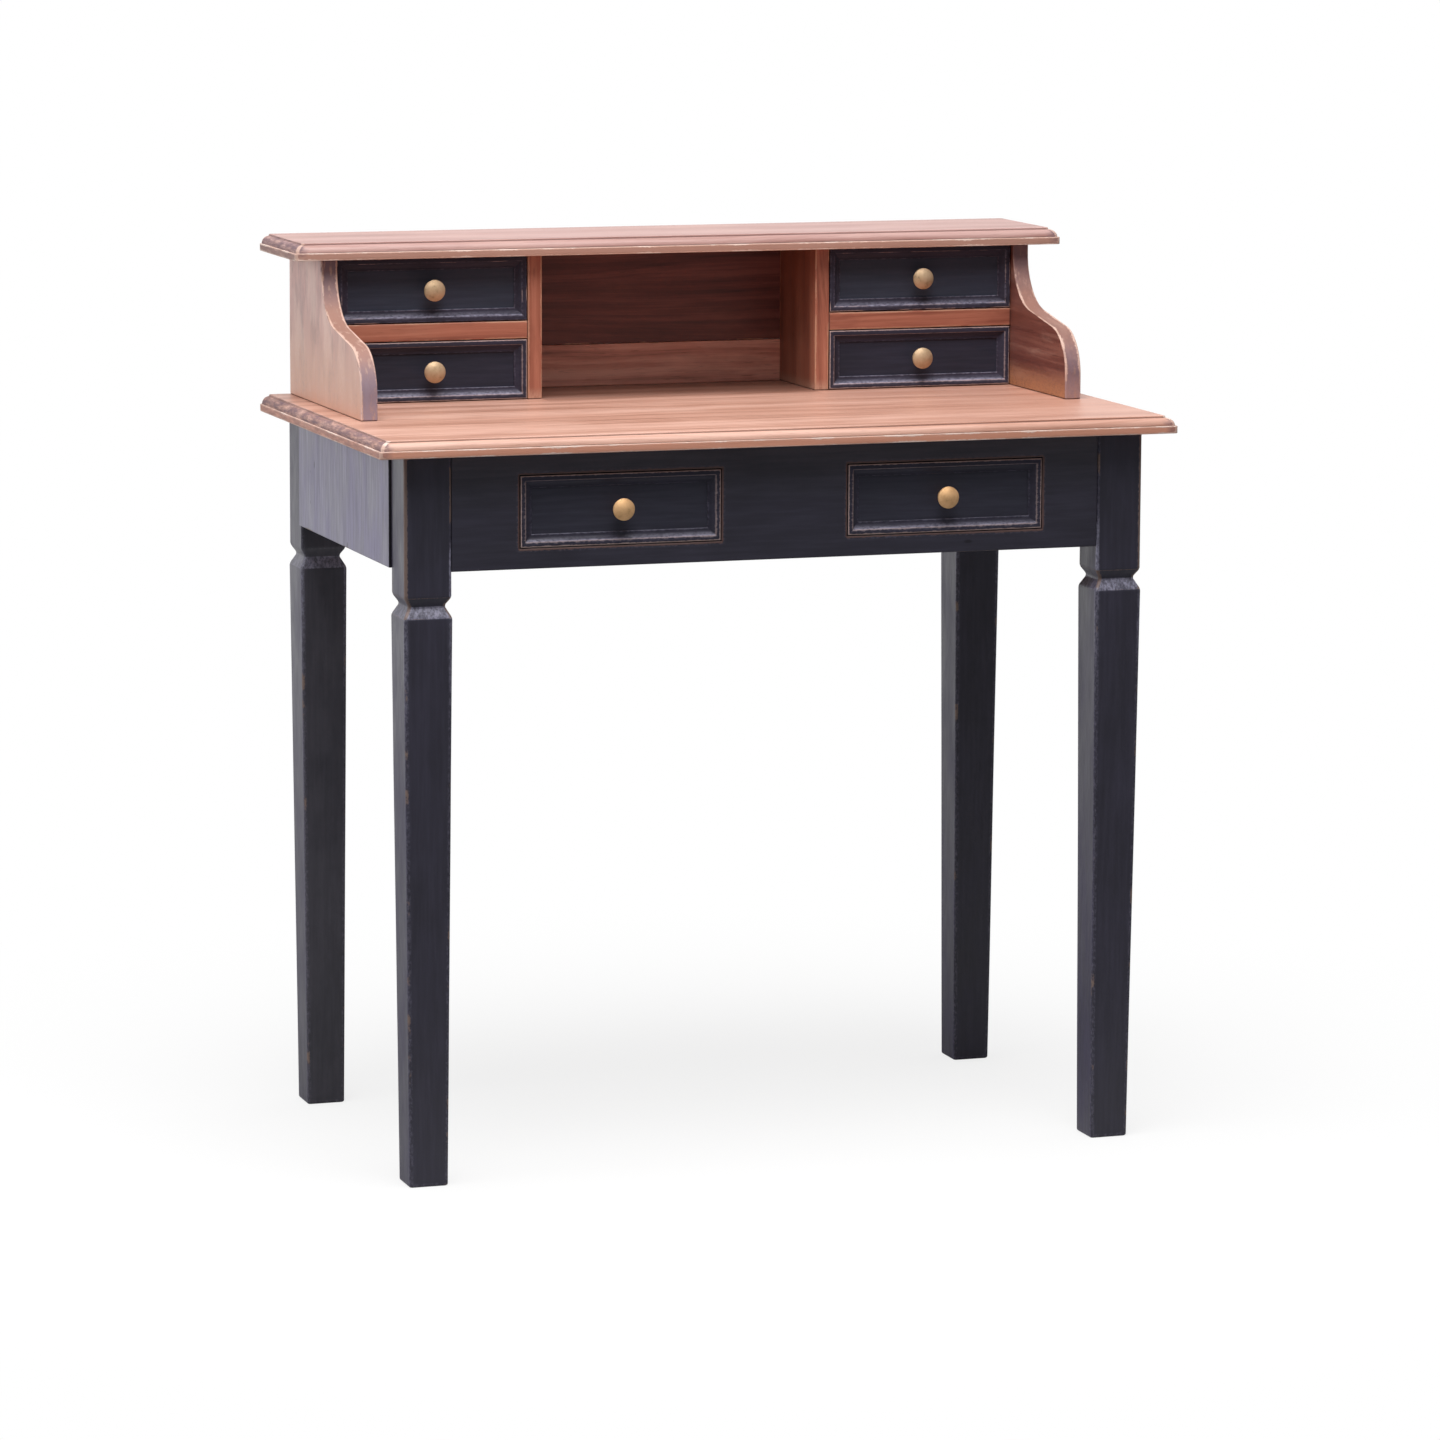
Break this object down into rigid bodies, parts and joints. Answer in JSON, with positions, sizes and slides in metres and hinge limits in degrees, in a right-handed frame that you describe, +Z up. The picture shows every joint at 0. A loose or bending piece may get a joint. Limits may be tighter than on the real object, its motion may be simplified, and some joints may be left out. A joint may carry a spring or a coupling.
{
  "type": "writing desk",
  "caption": "Writing desk on tapered legs with apron drawers and a small hutch: stacked drawers beside an open niche between scrolled sides, under a moulded top.",
  "frame": {"origin": "floor level, under the centre of the desk top", "axes": "+X to the right of the person sitting at the desk, +Y to its back, +Z up"},
  "size_m": [0.872, 0.49, 0.954],
  "materials": {
    "black_paint": "matt black paint rubbed through to the wood along the edges",
    "top_wood": "warm red-brown hardwood, waxed",
    "hutch_wood": "warm red-brown hardwood, waxed",
    "back_wood": "dark red-brown hardwood, waxed",
    "drawer_box_wood": "bare planed wood",
    "frame_wood": "bare sawn wood",
    "aged_brass": "matt aged brass",
    "screw_steel": "plain steel"
  },
  "bodies": {
    "carcass": {"back_apron": "black_paint", "corner_blocks": "frame_wood", "desk_top": "top_wood", "drawer_kickers": "frame_wood", "front_apron": "black_paint", "hutch_back_lower": "back_wood", "hutch_back_upper": "back_wood", "hutch_dowels": "frame_wood", "hutch_left_divider": "hutch_wood", "hutch_left_shelf": "hutch_wood", "hutch_left_side": "hutch_wood", "hutch_right_divider": "hutch_wood", "hutch_right_shelf": "hutch_wood", "hutch_right_side": "hutch_wood", "hutch_top": "top_wood", "left_apron": "black_paint", "left_drawer_runners": "frame_wood", "leg_back_left": "black_paint", "leg_back_right": "black_paint", "leg_front_left": "black_paint", "leg_front_right": "black_paint", "right_apron": "black_paint", "right_drawer_runners": "frame_wood", "top_screws": "screw_steel"},
    "desk_left_drawer": {"desk_left_drawer_back": "drawer_box_wood", "desk_left_drawer_bottom": "drawer_box_wood", "desk_left_drawer_front": "black_paint", "desk_left_drawer_knob": "aged_brass", "desk_left_drawer_moulding": "black_paint", "desk_left_drawer_sides": "drawer_box_wood"},
    "desk_right_drawer": {"desk_right_drawer_back": "drawer_box_wood", "desk_right_drawer_bottom": "drawer_box_wood", "desk_right_drawer_front": "black_paint", "desk_right_drawer_knob": "aged_brass", "desk_right_drawer_moulding": "black_paint", "desk_right_drawer_sides": "drawer_box_wood"},
    "hutch_lower_left_drawer": {"hutch_lower_left_drawer_back": "drawer_box_wood", "hutch_lower_left_drawer_bottom": "drawer_box_wood", "hutch_lower_left_drawer_front": "black_paint", "hutch_lower_left_drawer_knob": "aged_brass", "hutch_lower_left_drawer_moulding": "black_paint", "hutch_lower_left_drawer_sides": "drawer_box_wood"},
    "hutch_lower_right_drawer": {"hutch_lower_right_drawer_back": "drawer_box_wood", "hutch_lower_right_drawer_bottom": "drawer_box_wood", "hutch_lower_right_drawer_front": "black_paint", "hutch_lower_right_drawer_knob": "aged_brass", "hutch_lower_right_drawer_moulding": "black_paint", "hutch_lower_right_drawer_sides": "drawer_box_wood"},
    "hutch_upper_left_drawer": {"hutch_upper_left_drawer_back": "drawer_box_wood", "hutch_upper_left_drawer_bottom": "drawer_box_wood", "hutch_upper_left_drawer_front": "black_paint", "hutch_upper_left_drawer_knob": "aged_brass", "hutch_upper_left_drawer_moulding": "black_paint", "hutch_upper_left_drawer_sides": "drawer_box_wood"},
    "hutch_upper_right_drawer": {"hutch_upper_right_drawer_back": "drawer_box_wood", "hutch_upper_right_drawer_bottom": "drawer_box_wood", "hutch_upper_right_drawer_front": "black_paint", "hutch_upper_right_drawer_knob": "aged_brass", "hutch_upper_right_drawer_moulding": "black_paint", "hutch_upper_right_drawer_sides": "drawer_box_wood"}
  },
  "joints": [
    {"name": "desk_left_drawer_slide", "type": "slide", "parent": "carcass", "child": "desk_left_drawer", "axis": [0, -1, 0], "range_m": [0, 0.3]},
    {"name": "desk_right_drawer_slide", "type": "slide", "parent": "carcass", "child": "desk_right_drawer", "axis": [0, -1, 0], "range_m": [0, 0.3]},
    {"name": "hutch_lower_left_drawer_slide", "type": "slide", "parent": "carcass", "child": "hutch_lower_left_drawer", "axis": [0, -1, 0], "range_m": [0, 0.085]},
    {"name": "hutch_lower_right_drawer_slide", "type": "slide", "parent": "carcass", "child": "hutch_lower_right_drawer", "axis": [0, -1, 0], "range_m": [0, 0.085]},
    {"name": "hutch_upper_left_drawer_slide", "type": "slide", "parent": "carcass", "child": "hutch_upper_left_drawer", "axis": [0, -1, 0], "range_m": [0, 0.085]},
    {"name": "hutch_upper_right_drawer_slide", "type": "slide", "parent": "carcass", "child": "hutch_upper_right_drawer", "axis": [0, -1, 0], "range_m": [0, 0.085]}
  ]
}
